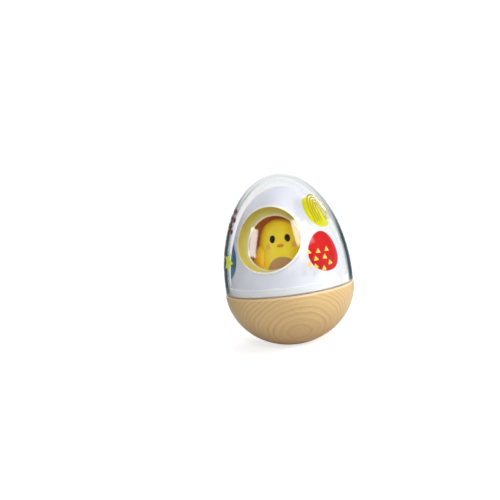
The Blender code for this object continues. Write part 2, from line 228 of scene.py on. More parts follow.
def wrapTree():
    tree, given = newTree("wrapOnEgg", eggInputs)
    flat = parts(node("GeometryNodeInputPosition", {}, tree)["Position"])
    across = vectorMaths("SCALE", given["Across"], scale=flat["X"])
    up = vectorMaths("SCALE", given["Up"], scale=flat["Y"])
    start = vectorMaths("ADD", given["Origin"], vectorMaths("ADD", across, up))
    size = combine(given["Egg radius"], given["Egg radius"], given["Egg height"])
    point = vectorMaths("DIVIDE", vectorMaths("SUBTRACT", start, combine(z=given["Middle"])), size)
    way = vectorMaths("DIVIDE", given["Out"], size)
    half = vectorMaths("DOT_PRODUCT", point, way)
    square = vectorMaths("DOT_PRODUCT", way, way)
    rest = maths("SUBTRACT", vectorMaths("DOT_PRODUCT", point, point), 1.0)
    root = maths("SQRT", maths("SUBTRACT", maths("MULTIPLY", half, half), maths("MULTIPLY", square, rest)))
    reach = maths("DIVIDE", maths("SUBTRACT", root, half), square)
    lifted = maths("ADD", reach, flat["Z"])
    onEgg = vectorMaths("ADD", start, vectorMaths("SCALE", given["Out"], scale=lifted))
    laid = node("GeometryNodeSetPosition", {"Geometry": given["Geometry"], "Position": onEgg})["Geometry"]
    return endTree(tree, laid, given["Finish"])


wrap = wrapTree()


def scatterTree():  # one motif on every sketch point, then the wrap
    tree, given = newTree("scatterOnEgg", eggInputs + [("Motif", "Object"), ("Turn", "Float"),
                                                       ("Seed", "Int")])
    motif = node("GeometryNodeObjectInfo", {"Object": given["Motif"]})["Geometry"]
    least = combine(z=maths("MULTIPLY", given["Turn"], -1.0))
    spin = node("FunctionNodeRandomValue", {"Min": least, "Max": combine(z=given["Turn"]),
                                            "Seed": given["Seed"]}, data_type="FLOAT_VECTOR")["Value"]
    placed = node("GeometryNodeInstanceOnPoints", {"Points": given["Geometry"], "Instance": motif,
                                                   "Rotation": spin})["Instances"]
    whole = node("GeometryNodeRealizeInstances", {"Geometry": placed})["Geometry"]
    egg = {label: given[label] for label, kind in eggInputs}
    laid = node("GeometryNodeGroup", {"Geometry": whole, **egg}, node_tree=wrap)["Geometry"]
    return endTree(tree, laid, given["Finish"])


scatter = scatterTree()


def eggPlace(egg, azimuth, height, **more):  # inputs for a spot on an egg, its height from the rim
    up = rim + height - egg["middle"]
    radius = egg["radius"] * math.sqrt(1 - (up / egg["height"]) ** 2)
    rise = math.atan2(up / egg["height"] ** 2, radius / egg["radius"] ** 2)
    across, out = towards(azimuth + 90.0, 0.0), towards(azimuth, math.degrees(rise))
    axes = {"Origin": towards(azimuth, 0.0) * radius + upward * (rim + height), "Across": across,
            "Up": out.cross(across), "Out": out}
    return {"Egg radius": egg["radius"], "Egg height": egg["height"], "Middle": egg["middle"],
            **{label: tuple(axis) for label, axis in axes.items()}, **more}


# finishes, all on Object coordinates

def newFinish(name, **sockets):
    finish = bpy.data.materials.new(name)
    finish.use_nodes = True
    tree = finish.node_tree
    shader = tree.nodes["Principled BSDF"]
    for key, value in sockets.items():
        shader.inputs[key].default_value = value
    return finish, tree, shader, node("ShaderNodeTexCoord", {}, tree)["Object"]


def noise(coords, scale, detail=3.0):
    return node("ShaderNodeTexNoise", {"Vector": coords, "Scale": scale, "Detail": detail,
                                       "Roughness": 0.55})["Fac"]


def stretched(coords, scale):
    return node("ShaderNodeMapping", {"Vector": coords, "Scale": scale})[0]


def linear(red, green, blue):  # 0 to 255 as seen, to Blender's linear colour
    def straight(value):
        share = value / 255
        return share / 12.92 if share <= 0.04045 else ((share + 0.055) / 1.055) ** 2.4
    return (straight(red), straight(green), straight(blue), 1.0)


def blendColour(factor, a, b):
    return node("ShaderNodeMix", {"Factor": factor, 6: a, 7: b}, data_type="RGBA")[2]


def shadeRamp(factor, shades):  # the first shade lies at 0
    colour = node("ShaderNodeValToRGB", {"Fac": factor})["Color"]
    stops = colour.node.color_ramp.elements
    stops.remove(stops[1])
    stops[0].color = shades[0][1]
    for share, shade in shades[1:]:
        stops.new(share).color = shade
    return colour


def bump(shader, height, strength, depth):
    feed(shader, "Normal", node("ShaderNodeBump", {"Height": height, "Strength": strength,
                                                   "Distance": depth})["Normal"])


def grainy(shader, coords, rough, sway=0.05, grain=2200.0, strength=0.06, depth=0.00006):
    fine = noise(coords, grain, detail=2.0)
    feed(shader, "Roughness", spread(fine, rough - sway, rough + sway))
    bump(shader, fine, strength, depth)


def mouldedFinish(name, dark, light, rough, cloud=60.0, strength=0.06, **sockets):  # plastics, inks, paints
    finish, tree, shader, coords = newFinish(name, **sockets)
    cloudy = spread(noise(coords, cloud), 0.0, 1.0)
    feed(shader, "Base Color", blendColour(cloudy, linear(*dark), linear(*light)))
    grainy(shader, coords, rough, strength=strength)
    return finish


beechLook = {"pale": linear(237, 206, 152), "mid": linear(227, 192, 134), "dark": linear(196, 150, 97),
             "midShare": 0.5, "darkShare": 0.88, "ring": 0.0013, "crowding": 0.85, "heart": (24.5, -44.0),
             "wander": 0.55, "wanderScale": 26.0, "quiver": 0.10, "quiverScale": 120.0, "faintest": 0.18,
             "strongest": 0.80, "fibre": (60.0, 1400.0, 1400.0), "fibreShare": 0.32,
             "fleck": linear(160, 116, 76), "dash": (260.0, 1900.0, 1500.0), "fleckShare": 0.5,
             "fleckCore": 0.10, "fleckEdge": 0.24, "cloud": 30.0, "cloudShare": 0.30,
             # low: painted shade, darker and warmer towards the bottom
             "low": linear(198, 140, 88), "bottomShadeShare": 0.32, "bottomShadeFrom": 0.002, "bottomShadeTo": 0.6 * rim,
             # rim: painted highlight along the top of the rim, strongest towards the right
             "rim": linear(250, 234, 200), "rimHighlightSide": 110.0, "rimHighlightFrom": -0.035, "rimHighlightTo": 0.030,
             "rimHighlightLeast": 0.10, "rimHighlightMost": 0.64, "rimHighlightBand": 0.0018, "rimHighlightEdge": 0.0004,
             "smoothest": 0.36, "roughest": 0.50, "bump": 0.12, "bumpDepth": 0.00012,
             "lacquer": {"Coat Weight": 0.22, "Coat Roughness": 0.28}}


def beechFinish():
    look = beechLook
    finish, tree, shader, coords = newFinish("beech", **look["lacquer"])
    layer = towards(*look["heart"])  # growth layers lie across this line
    fibreWay = upward.cross(layer).normalized()
    axes = [vectorMaths("DOT_PRODUCT", coords, way) for way in (fibreWay, layer, fibreWay.cross(layer))]
    along = combine(*axes)
    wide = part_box("wooden_base")[1].x
    outermost = layer.z * rim + math.hypot(wide * math.hypot(layer.x, layer.y), rim * layer.z)
    depth = maths("MAXIMUM", maths("SUBTRACT", outermost, axes[1]), 0.0)
    grown = maths("POWER", maths("DIVIDE", depth, look["ring"]), look["crowding"])
    sway = spread(noise(along, look["wanderScale"], detail=1.0), -look["wander"], look["wander"])
    shake = spread(noise(along, look["quiverScale"], detail=2.0), -look["quiver"], look["quiver"])
    years = maths("ADD", grown, maths("ADD", sway, shake))
    shades = [(0.0, look["pale"]), (look["midShare"], look["mid"]), (look["darkShare"], look["dark"]),
              (1.0, look["pale"])]
    luck = node("ShaderNodeTexWhiteNoise", {"W": maths("FLOOR", years)}, noise_dimensions="1D")["Value"]
    strength = spread(luck, look["faintest"], look["strongest"], 0.0, 1.0)
    ringed = blendColour(strength, look["mid"], shadeRamp(maths("FRACT", years), shades))
    fibre = noise(stretched(along, look["fibre"]), 1.0, detail=2.0)
    grained = blendColour(spread(fibre, 0.0, look["fibreShare"]), ringed, look["mid"])
    dashes = stretched(along, look["dash"])
    cells = node("ShaderNodeTexVoronoi", {"Vector": dashes, "Scale": 1.0, "Randomness": 1.0})["Distance"]
    fleck = spread(cells, look["fleckShare"], 0.0, look["fleckCore"], look["fleckEdge"])
    flecked = blendColour(fleck, grained, look["fleck"])
    cloud = spread(noise(coords, look["cloud"]), 0.0, look["cloudShare"])
    mixed = blendColour(cloud, flecked, look["mid"])
    height = parts(coords)["Z"]
    # painted shade: darker and warmer towards the bottom
    low = spread(height, look["bottomShadeShare"], 0.0, look["bottomShadeFrom"], look["bottomShadeTo"])
    bottomShaded = blendColour(low, mixed, look["low"])
    # painted highlight: the rim's top edge paler, most on the right side
    side = vectorMaths("DOT_PRODUCT", coords, towards(look["rimHighlightSide"], 0.0))
    pale = spread(side, look["rimHighlightLeast"], look["rimHighlightMost"], look["rimHighlightFrom"], look["rimHighlightTo"])
    highlightBand = spread(height, 0.0, 1.0, rim - look["rimHighlightBand"], rim - look["rimHighlightEdge"])
    feed(shader, "Base Color", blendColour(maths("MULTIPLY", pale, highlightBand), bottomShaded, look["rim"]))
    feed(shader, "Roughness", spread(fibre, look["smoothest"], look["roughest"]))
    bump(shader, maths("ADD", fibre, fleck), look["bump"], look["bumpDepth"])
    return finish


domeLook = {"plastic": {"Base Color": (0.99, 0.995, 1.0, 1.0), "IOR": 1.49, "Transmission Weight": 1.0},
            "absorb": (0.30, 0.56, 0.62, 1.0), "density": 14.0, "smear": 45.0, "smearRough": 0.035,
            "smearFrom": 0.45, "smearTo": 0.75, "ripple": 28.0, "bump": 0.02, "bumpDepth": 0.0003}


def domeFinish():
    look = domeLook
    finish, tree, shader, coords = newFinish("clearDome", **look["plastic"])
    smear = noise(coords, look["smear"], detail=4.0)
    feed(shader, "Roughness", spread(smear, 0.0, look["smearRough"], look["smearFrom"], look["smearTo"]))
    bump(shader, noise(coords, look["ripple"], detail=0.0), look["bump"], look["bumpDepth"])
    depth = node("ShaderNodeVolumeAbsorption", {"Color": look["absorb"], "Density": look["density"]}, tree)
    feed(tree.nodes["Material Output"], "Volume", depth["Volume"])
    return finish


paintGrain = {"rough": 0.54, "sway": 0.08, "grain": 2600.0, "strength": 0.15, "depth": 0.00008}
chickLook = {"yellow": linear(252, 226, 42), "shade": linear(244, 213, 28), "cloud": 90.0,
             "belly": linear(186, 142, 88), "bellyMiddle": 0.0133, "bellyWide": 0.0115, "bellyTall": 0.0112,
             "bellyEdge": 0.03, "cheek": linear(232, 140, 100), "cheekPlace": (0.0100, -0.0166, 0.0325),
             "cheekInner": 0.0012, "cheekOuter": 0.0030, "blush": 0.55}


def chickFinish(foot, yaw):
    look = chickLook
    finish, tree, shader, coords = newFinish("chickPaint")
    axes = parts(node("ShaderNodeMapping", {"Vector": coords, "Location": (0.0, 0.0, -foot),
                                            "Rotation": (0.0, 0.0, -yaw)})[0])
    cloudy = spread(noise(coords, look["cloud"]), 0.0, 1.0)
    paint = blendColour(cloudy, look["shade"], look["yellow"])
    wide = maths("DIVIDE", axes["X"], look["bellyWide"])
    tall = maths("DIVIDE", maths("SUBTRACT", axes["Z"], look["bellyMiddle"]), look["bellyTall"])
    off = vectorMaths("LENGTH", combine(wide, tall))
    inside = spread(off, 1.0, 0.0, 1.0 - look["bellyEdge"], 1.0 + look["bellyEdge"])
    front = maths("LESS_THAN", axes["Y"], 0.0)
    patched = blendColour(maths("MULTIPLY", inside, front), paint, look["belly"])
    bothSides = combine(maths("ABSOLUTE", axes["X"]), axes["Y"], axes["Z"])
    near = vectorMaths("DISTANCE", bothSides, look["cheekPlace"])
    blush = spread(near, look["blush"], 0.0, look["cheekInner"], look["cheekOuter"])
    feed(shader, "Base Color", blendColour(blush, patched, look["cheek"]))
    grainy(shader, coords, **paintGrain)
    return finish


wingLook = {"top": linear(254, 212, 40), "tip": linear(255, 176, 22), "fadeLow": 0.0072, "fadeHigh": 0.0306,
            "cloud": 120.0, "cloudShare": 0.12}


def wingFinish(foot):
    look = wingLook
    finish, tree, shader, coords = newFinish("wingPaint")
    cloudy = spread(noise(coords, look["cloud"]), -look["cloudShare"], look["cloudShare"])
    fade = spread(parts(coords)["Z"], 0.0, 1.0, foot + look["fadeLow"], foot + look["fadeHigh"])
    feed(shader, "Base Color", blendColour(maths("ADD", fade, cloudy), look["tip"], look["top"]))
    grainy(shader, coords, **paintGrain)
    return finish


# shades run from painted shade at the mouth to a painted highlight at the inner edge
ringLook = {"shades": ((0.0, linear(226, 203, 90)), (0.3, linear(226, 214, 106)),
                       (0.6, linear(226, 224, 136)), (0.78, linear(234, 234, 176)),
                       (0.86, linear(254, 251, 230))), "rough": 0.36, "cloud": 130.0, "cloudShare": 0.05}


def ringFinish(place, front, back):  # painted shade: olive at the mouth, lightening to a painted highlight at the inner edge
    look = ringLook
    finish, tree, shader, coords = newFinish("ringLime")
    away = vectorMaths("SUBTRACT", coords, place["Origin"])
    off = vectorMaths("LENGTH", vectorMaths("CROSS_PRODUCT", away, place["Out"]))
    cloudy = spread(noise(coords, look["cloud"]), -look["cloudShare"], look["cloudShare"])
    # share from the painted shade at the mouth to the painted highlight at the inner edge
    shadeToHighlight = maths("ADD", cloudy, spread(off, 1.0, 0.0, back, front))
    feed(shader, "Base Color", shadeRamp(shadeToHighlight, look["shades"]))
    grainy(shader, coords, look["rough"])
    return finish


dull = {"Specular IOR Level": 0.2}
liningGlow = {"Emission Color": linear(255, 176, 40), "Emission Strength": 0.044}  # painted glow standing in for daylight through the wall
shellWhite = mouldedFinish("shellWhite", (228, 229, 239), (238, 239, 248), 0.30)
# the lining's own orange, with a painted glow added
shellLining = mouldedFinish("shellLining", (246, 156, 22), (254, 170, 34), 0.60, **liningGlow)
deckWhite = mouldedFinish("deckWhite", (234, 236, 240), (245, 246, 249), 0.34)
# painted highlight for the ring's outer lip
ringLipHighlight = mouldedFinish("ringLipHighlight", (246, 245, 236), (252, 251, 244), 0.34)
seatGrey = mouldedFinish("seatGrey", (150, 134, 122), (172, 156, 142), 0.50)
pegWood = mouldedFinish("pegWood", (206, 172, 124), (228, 198, 152), 0.50, cloud=400.0, strength=0.15)
eyeBlack = mouldedFinish("eyeBlack", (12, 6, 5), (20, 12, 10), 0.50, strength=0.02, **dull)
beakPaint = mouldedFinish("beakPaint", (228, 150, 24), (244, 170, 34), 0.48, strength=0.12)
steel = mouldedFinish("zincSteel", (150, 152, 156), (184, 186, 190), 0.32, 700.0, 0.1, Metallic=1.0)
inkRed = mouldedFinish("inkRed", (200, 2, 4), (214, 4, 8), 0.34, **dull)
inkBlue = mouldedFinish("inkBlue", (16, 100, 148), (28, 116, 164), 0.34, **dull)
inkLemon = mouldedFinish("inkLemon", (216, 216, 2), (228, 228, 8), 0.34, **dull)
inkCoral = mouldedFinish("inkCoral", (232, 118, 104), (242, 136, 120), 0.34, **dull)
inkGold = mouldedFinish("inkGold", (252, 208, 84), (255, 222, 112), 0.36, **dull)
inkOlive = mouldedFinish("inkOlive", (170, 148, 8), (186, 164, 18), 0.36, **dull)
inkLime = mouldedFinish("inkLime", (244, 248, 80), (250, 254, 104), 0.36, **dull)
inkMaroon = mouldedFinish("inkMaroon", (104, 16, 34), (124, 24, 44), 0.36, **dull)
beech = beechFinish()
clearDome = domeFinish()
print("finishes made")


# wooden base

baseSizes = {"rimRound": 0.0014, "foot": 0.0100, "pocket": 0.0223, "pocketFloor": 0.0090, "rebate": 0.0469,
             "rebateFloor": 0.0407, "chamfer": 0.0002, "bowlSteps": 56, "steps": 192}
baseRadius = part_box("wooden_base")[1].x
pocket, rebate, chamfer = baseSizes["pocket"], baseSizes["rebate"], baseSizes["chamfer"]
basePoints = [(0.0, baseSizes["pocketFloor"]), (pocket, baseSizes["pocketFloor"]),
              (pocket, baseSizes["rebateFloor"]), (rebate, baseSizes["rebateFloor"]),
              (rebate, rim - chamfer), (rebate + chamfer, rim)]
roundCentre = (baseRadius - baseSizes["rimRound"], rim - baseSizes["rimRound"])
basePoints += arc(roundCentre, baseSizes["rimRound"], 90, 0, 8)
bowlDepth = rim / math.sqrt(1 - (baseSizes["foot"] / baseRadius) ** 2)
bowlFirst = math.asin(baseSizes["rimRound"] / bowlDepth)
bowlLast = math.asin(rim / bowlDepth)
for i in range(1, baseSizes["bowlSteps"]):
    angle = bowlFirst + (bowlLast - bowlFirst) * i / baseSizes["bowlSteps"]
    basePoints.append((baseRadius * math.cos(angle), rim - bowlDepth * math.sin(angle)))
basePoints += [(baseSizes["foot"], 0.0), (0.0, 0.0)]
woodenBase = turned("woodenBase", basePoints, beech, baseSizes["steps"])
finishPiece(woodenBase, "base", "beech", "wooden_base")
print("base turned")


# deck with its upstanding wall, and the four screws in it

deckSizes = {"wall": 0.0013, "edge": 0.00045, "fillet": 0.0006, "screws": 4, "screwCircle": 0.0338,
             "gap": 0.00012, "sinkOver": 0.001, "sinkDepth": 0.005, "steps": 192}
screwSizes = {"head": 0.0028, "headHeight": 0.0016, "headEdge": 0.0002, "headSide": 0.0003, "sunk": 0.00005,
              "shank": 0.0014, "length": 0.0140, "point": 0.0020, "slot": 0.0007, "slotReach": 0.0017,
              "slotDepth": 0.0009, "steps": 32}
deckLow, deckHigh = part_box("deck")
bandOuter, bandTop = deckHigh.x, deckHigh.z
bandInner = bandOuter - deckSizes["wall"]
deckEdge, fillet = deckSizes["edge"], deckSizes["fillet"]
deckPoints = [(0.0, rim), (bandInner - fillet, rim), (bandInner, rim + fillet)]
deckPoints += arc((bandInner + deckEdge, bandTop - deckEdge), deckEdge, 180, 90, 5)
deckPoints += arc((bandOuter - deckEdge, bandTop - deckEdge), deckEdge, 90, 0, 5)
deckPoints += [(bandOuter, deckLow.z), (0.0, deckLow.z)]
deck = turned("deck", deckPoints, deckWhite, deckSizes["steps"])
sinkWide, sinkBore = screwSizes["head"] + deckSizes["gap"], screwSizes["shank"] + deckSizes["gap"]
sinkTop, sinkFoot = deckSizes["sinkOver"], -deckSizes["sinkDepth"]
sinkPoints = [(0.0, sinkTop), (sinkWide, sinkTop), (sinkWide, 0.0), (sinkBore, -screwSizes["headHeight"]),
              (sinkBore, sinkFoot), (0.0, sinkFoot)]
for i in range(deckSizes["screws"]):
    turn = Matrix.Rotation(2 * math.pi * (i + 0.5) / deckSizes["screws"], 3, "Z")
    cutter = turned(f"sink{i}", sinkPoints, steel, screwSizes["steps"])
    cutter.data.transform(Matrix.Translation(turn @ Vector((deckSizes["screwCircle"], 0.0, rim))))
    carve(deck, cutter)
finishPiece(deck, "base", "white_deck", "deck")


def screwMesh():  # countersunk, with a cross recess
    size = screwSizes
    points = [(0.0, -size["sunk"]), (size["head"] - size["headEdge"], -size["sunk"]),
              (size["head"], -size["headSide"]), (size["shank"], -size["headHeight"]),
              (size["shank"], size["point"] - size["length"]), (0.0, -size["length"])]
    screw = turned("screwShape", points, steel, size["steps"])
    for turn in (0.0, math.pi / 2):
        shape = bmesh.new()
        bmesh.ops.create_cube(shape, size=1.0)
        bmesh.ops.scale(shape, vec=(2 * size["slotReach"], size["slot"], 2 * size["slotDepth"]),
                        verts=shape.verts)
        bmesh.ops.rotate(shape, matrix=Matrix.Rotation(turn, 3, "Z"), verts=shape.verts)
        carve(screw, linkPiece("slotCutter", meshFrom("slot", shape)))
    return screw


def screwTree():
    tree, given = newTree("screwsOnCircle", [("Count", "Int"), ("Circle", "Float"), ("Top", "Float"),
                                             ("Screw", "Object"), ("Finish", "Material")])
    ring = node("GeometryNodeMeshCircle", {"Vertices": given["Count"], "Radius": given["Circle"]})["Mesh"]
    turn = combine(z=maths("DIVIDE", math.pi, given["Count"]))
    moved = node("GeometryNodeTransform", {"Geometry": ring, "Translation": combine(z=given["Top"]),
                                           "Rotation": turn})["Geometry"]
    screw = node("GeometryNodeObjectInfo", {"Object": given["Screw"]})["Geometry"]
    spin = node("FunctionNodeRandomValue", {"Min": (0.0, 0.0, 0.0), "Max": (0.0, 0.0, math.pi), "Seed": 3},
                tree, data_type="FLOAT_VECTOR")["Value"]
    placed = node("GeometryNodeInstanceOnPoints", {"Points": moved, "Instance": screw, "Rotation": spin})
    return endTree(tree, placed["Instances"], given["Finish"])


screwShape = screwMesh()
deckScrews = throughTree("deckScrews", bpy.data.meshes.new("deckScrews"), screwTree(), {
    "Count": deckSizes["screws"], "Circle": deckSizes["screwCircle"], "Top": rim, "Screw": screwShape,
    "Finish": steel})
bpy.data.objects.remove(screwShape, do_unlink=True)
finishPiece(deckScrews, "base", "steel", *[f"deck_screw_{i + 1}" for i in range(deckSizes["screws"])])
for name in ("counterweight", "counterweight_screw", "peg_screw"):
    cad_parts[name].data.materials.clear()
    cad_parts[name].data.materials.append(steel)
print("deck and screws made")


# peg under the chick

pegSizes = {"flange": 0.0014, "radius": 0.0050, "round": 0.0010, "edge": 0.0004, "steps": 64}
pegLow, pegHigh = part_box("chick_peg")
pegRadius, pegRound, pegEdge = pegSizes["radius"], pegSizes["round"], pegSizes["edge"]
pegFlange = pegLow.z + pegSizes["flange"]
pegPoints = [(0.0, pegHigh.z)] + arc((pegRadius - pegRound, pegHigh.z - pegRound), pegRound, 90, 0, 6)
pegPoints += [(pegRadius, pegFlange + pegEdge), (pegRadius + pegEdge, pegFlange)]
pegPoints += arc((pegHigh.x - pegEdge, pegFlange - pegEdge), pegEdge, 90, 0, 4)
pegPoints += [(pegHigh.x, pegLow.z), (0.0, pegLow.z)]
chickPeg = turned("chickPeg", pegPoints, pegWood, pegSizes["steps"])
finishPiece(chickPeg, "base", "peg", "chick_peg")


# chick

chickSizes = {"belly": 0.0245, "bellyHeight": 0.0150, "foot": 0.0190, "crownReach": 0.0210, "neck": 0.0170,
              "neckHeight": 0.0310, "hipPull": 0.35, "yaw": math.radians(11), "bore": 0.0053,
              "boreDepth": 0.0156, "gap": 0.0003, "slopeShare": 0.05, "steps": 128}
chickLow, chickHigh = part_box("chick_body")
chickTall = chickHigh.z - chickLow.z


def bezier(ends, count):
    points = []
    for i in range(count + 1):
        t = i / count
        weights = [(1 - t) ** 3, 3 * t * (1 - t) ** 2, 3 * t ** 2 * (1 - t), t ** 3]
        points.append(tuple(sum(w * p[k] for w, p in zip(weights, ends)) for k in (0, 1)))
    return points


def chickSide(grow=0.0):  # crown to foot, standing on z = 0
    crown, belly = chickTall + grow, chickSizes["belly"] + grow
    neck, foot = chickSizes["neck"] + grow, chickSizes["foot"] + grow
    low, waist, pull = chickSizes["bellyHeight"], chickSizes["neckHeight"], chickSizes["hipPull"]
    hip = belly + pull * low / (waist - low) * (belly - neck)
    upper = bezier([(0.0, crown), (chickSizes["crownReach"] + grow, crown), (neck, waist), (belly, low)], 44)
    lower = bezier([(belly, low), (hip, low * (1 - pull)), (belly, 0.0), (foot, 0.0)], 24)
    return upper + lower[1:]


def chickRadius(height):
    side = chickSide()
    for (r1, z1), (r2, z2) in zip(side, side[1:]):
        if z2 <= height <= z1:
            return r1 + (r2 - r1) * (z1 - height) / (z1 - z2)
    return chickSizes["belly"]


def onChick(azimuth, height):  # X along the side, -Y out of it, Z up the slope
    step = chickSizes["slopeShare"] * chickTall
    slope = math.atan2(chickRadius(height - step) - chickRadius(height + step), 2 * step)
    pushed = Matrix.Translation((0.0, -chickRadius(height) - chickSizes["gap"], height))
    return Matrix.Rotation(azimuth, 4, "Z") @ pushed @ Matrix.Rotation(-slope, 4, "X")


chickStand = Matrix.Translation((0.0, 0.0, chickLow.z)) @ Matrix.Rotation(chickSizes["yaw"], 4, "Z")
chickPaint = chickFinish(chickLow.z, chickSizes["yaw"])
wingPaint = wingFinish(chickLow.z)
chickPoints = chickSide() + [(chickSizes["bore"], 0.0), (chickSizes["bore"], chickSizes["boreDepth"]),
                             (0.0, chickSizes["boreDepth"])]
chickBody = turned("chickBody", chickPoints, chickPaint, chickSizes["steps"])
chickBody.data.transform(chickStand)
finishPiece(chickBody, "chick", "chick_yellow", "chick_body")

# half sizes go along the chick's side, out of it and up
eyeSizes = {"half": (0.00215, 0.0009, 0.00295), "height": 0.0380, "azimuth": math.radians(18.5), "lean": 0.0,
            "taper": 0.0}
wingSizes = {"half": (0.0095, 0.0035, 0.0140), "height": 0.0200, "azimuth": math.radians(57),
             "lean": math.radians(8), "taper": 0.22}
beakSizes = {"half": (0.0027, 0.0020, 0.0012), "height": 0.0331, "azimuth": 0.0, "lean": 0.0, "taper": 0.0}


def sideLump(name, sizes, sign, finish, slot, cadName):  # let into the chick's round side
    shape = bmesh.new()
    bmesh.ops.create_uvsphere(shape, u_segments=40, v_segments=24, radius=1.0)
    bmesh.ops.scale(shape, vec=sizes["half"], verts=shape.verts)
    for vert in shape.verts:
        vert.co.x *= 1 - sizes["taper"] * (0.5 + vert.co.z / (2 * sizes["half"][2]))
    piece = linkPiece(name, meshFrom(name, shape))
    piece.data.materials.append(finish)
    place = onChick(sign * sizes["azimuth"], sizes["height"])
    piece.data.transform(place @ Matrix.Rotation(sign * sizes["lean"], 4, "Y"))
    core = chickSide(chickSizes["gap"]) + [(0.0, 0.0)]
    carve(piece, turned("chickCore", core, finish, chickSizes["steps"]))
    piece.data.transform(chickStand)
    finishPiece(piece, "chick", slot, cadName)


for side, sign in (("left", 1), ("right", -1)):
    label = side.capitalize()
    sideLump("chickEye" + label, eyeSizes, sign, eyeBlack, "eye_black", "chick_eye_" + side)
    sideLump("chickWing" + label, wingSizes, sign, wingPaint, "chick_orange", "chick_wing_" + side)
sideLump("chickBeak", beakSizes, 1, beakPaint, "chick_orange", "chick_beak")
print("chick painted")


# egg shell with its window

shellLow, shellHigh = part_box("egg_shell")
shellEgg = {"middle": rim, "height": shellHigh.z - rim, "wall": 0.0022, "window": 0.0432, "hole": 0.0258,
            "cutterLength": 0.06, "wallFacing": 0.6, "rows": 72, "steps": 176}
shellEgg["radius"] = eggRadius(shellHigh.x, shellLow.z, shellEgg)
eggShell = turned("eggShell", eggWall(shellEgg, shellLow.z), shellWhite, shellEgg["steps"])
eggShell.data.materials.append(shellLining)
window = eggPlace(shellEgg, 0.0, shellEgg["window"])
windowFrame = Matrix((window["Across"], window["Up"], window["Out"])).transposed().to_4x4()
windowFrame.translation = window["Origin"]
hole = bmesh.new()
bmesh.ops.create_cone(hole, cap_ends=True, segments=128, radius1=shellEgg["hole"], radius2=shellEgg["hole"],
                      depth=shellEgg["cutterLength"])
bmesh.ops.transform(hole, matrix=windowFrame, verts=hole.verts)
carve(eggShell, linkPiece("windowHole", meshFrom("windowHole", hole)))


def eggNormal(point, egg):
    return Vector((point.x / egg["radius"] ** 2, point.y / egg["radius"] ** 2,
                   (point.z - egg["middle"]) / egg["height"] ** 2)).normalized()


def smoothShell(mesh, egg):  # true egg normals on the walls, and the lining inside
    normals = [None] * len(mesh.loops)
    for face in mesh.polygons:
        facing = face.normal.dot(eggNormal(face.center, egg))
        onWall = abs(facing) >= egg["wallFacing"]
        if onWall and facing < 0:
            face.material_index = 1
        for loop in face.loop_indices:
            corner = mesh.vertices[mesh.loops[loop].vertex_index].co
            normals[loop] = math.copysign(1, facing) * eggNormal(corner, egg) if onWall else face.normal
    mesh.normals_split_custom_set(normals)


smoothShell(eggShell.data, shellEgg)
finishPiece(eggShell, "shell", "white_shell", "egg_shell")


# window ring: a flat funnel sketch, wrapped on the shell along the window's axis

ringSizes = {"lip": 0.0008, "wall": 0.0012, "depth": 0.0120, "back": 0.0209, "gap": 0.0003, "edge": 0.0003,
             "bow": 1.5, "bowSteps": 15, "taper": 0.0003, "taperShare": 0.45, "lipFaces": 9, "steps": 160}
ringGap, ringEdge, ringDepth = ringSizes["gap"], ringSizes["edge"], ringSizes["depth"]
ringHalf = ringSizes["wall"] / 2
ringLip = shellEgg["hole"] + ringSizes["lip"]
ringNeck = shellEgg["hole"] - ringGap
ringFront, ringBack = ringNeck - ringHalf, ringSizes["back"]
ringFace = ringGap + ringSizes["lip"]
ringTop = ringFace - ringEdge
ringSection = [(ringLip, ringGap)] + arc((ringLip - ringEdge, ringTop), ringEdge, 0, 90, 4)
ringSection.append(((ringLip + ringFront) / 2, ringFace))
ringSection += arc((ringFront + ringEdge, ringTop), ringEdge, 90, 180, 4)
for i in range(1, ringSizes["bowSteps"]):  # bowed run of the funnel
    share = i / ringSizes["bowSteps"]
    ringSection.append((ringFront + (ringBack - ringFront) * share ** ringSizes["bow"],
                        ringTop - (ringTop + ringDepth) * share))
ringSection += arc((ringBack + ringHalf, -ringDepth), ringHalf, 180, 360, 6)
ringSection += [(ringNeck - ringSizes["taper"], -ringSizes["taperShare"] * ringDepth),
                (ringNeck, -shellEgg["wall"]), (ringNeck, ringGap)]


def sweptRing(section, steps):
    shape = bmesh.new()
    loops = []
    for angle in [2 * math.pi * i / steps for i in range(steps)]:
        across, up = math.cos(angle), math.sin(angle)
        loops.append([shape.verts.new((r * across, r * up, lift)) for r, lift in section])
    for i, loop in enumerate(loops):
        ahead = loops[(i + 1) % steps]
        for j in range(len(section)):
            k = (j + 1) % len(section)
            shape.faces.new((loop[j], ahead[j], ahead[k], loop[k]))
    return meshFrom("ringSketch", shape, outward=True)


ringLime = ringFinish(window, ringFront, ringBack)
windowRing = throughTree("windowRing", sweptRing(ringSection, ringSizes["steps"]), wrap,
                         {**window, "Finish": ringLime})
windowRing.data.materials.append(ringLipHighlight)
for face in windowRing.data.polygons:  # painted highlight: the outer lip in pale cream
    if face.index % len(ringSection) < ringSizes["lipFaces"]:
        face.material_index = 1
finishPiece(windowRing, "shell", "lime_ring", "window_ring")
print("shell and window ring made")


# dome and the ring it turns on

domeLow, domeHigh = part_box("clear_dome")
domeEgg = {"fullest": 0.006, "wall": 0.0026, "rows": 110, "steps": 288}  # fullest a little above the rim
domeEgg["middle"] = rim + domeEgg["fullest"]
domeEgg["height"] = domeHigh.z - domeEgg["middle"]
domeEgg["radius"] = eggRadius(domeHigh.x, domeLow.z, domeEgg)
dome = turned("clearDome", eggWall(domeEgg, domeLow.z), clearDome, domeEgg["steps"])
dome.visible_shadow = False  # light passes the clear wall
dome.visible_diffuse = False
finishPiece(dome, "dome", "clear_dome", "clear_dome")

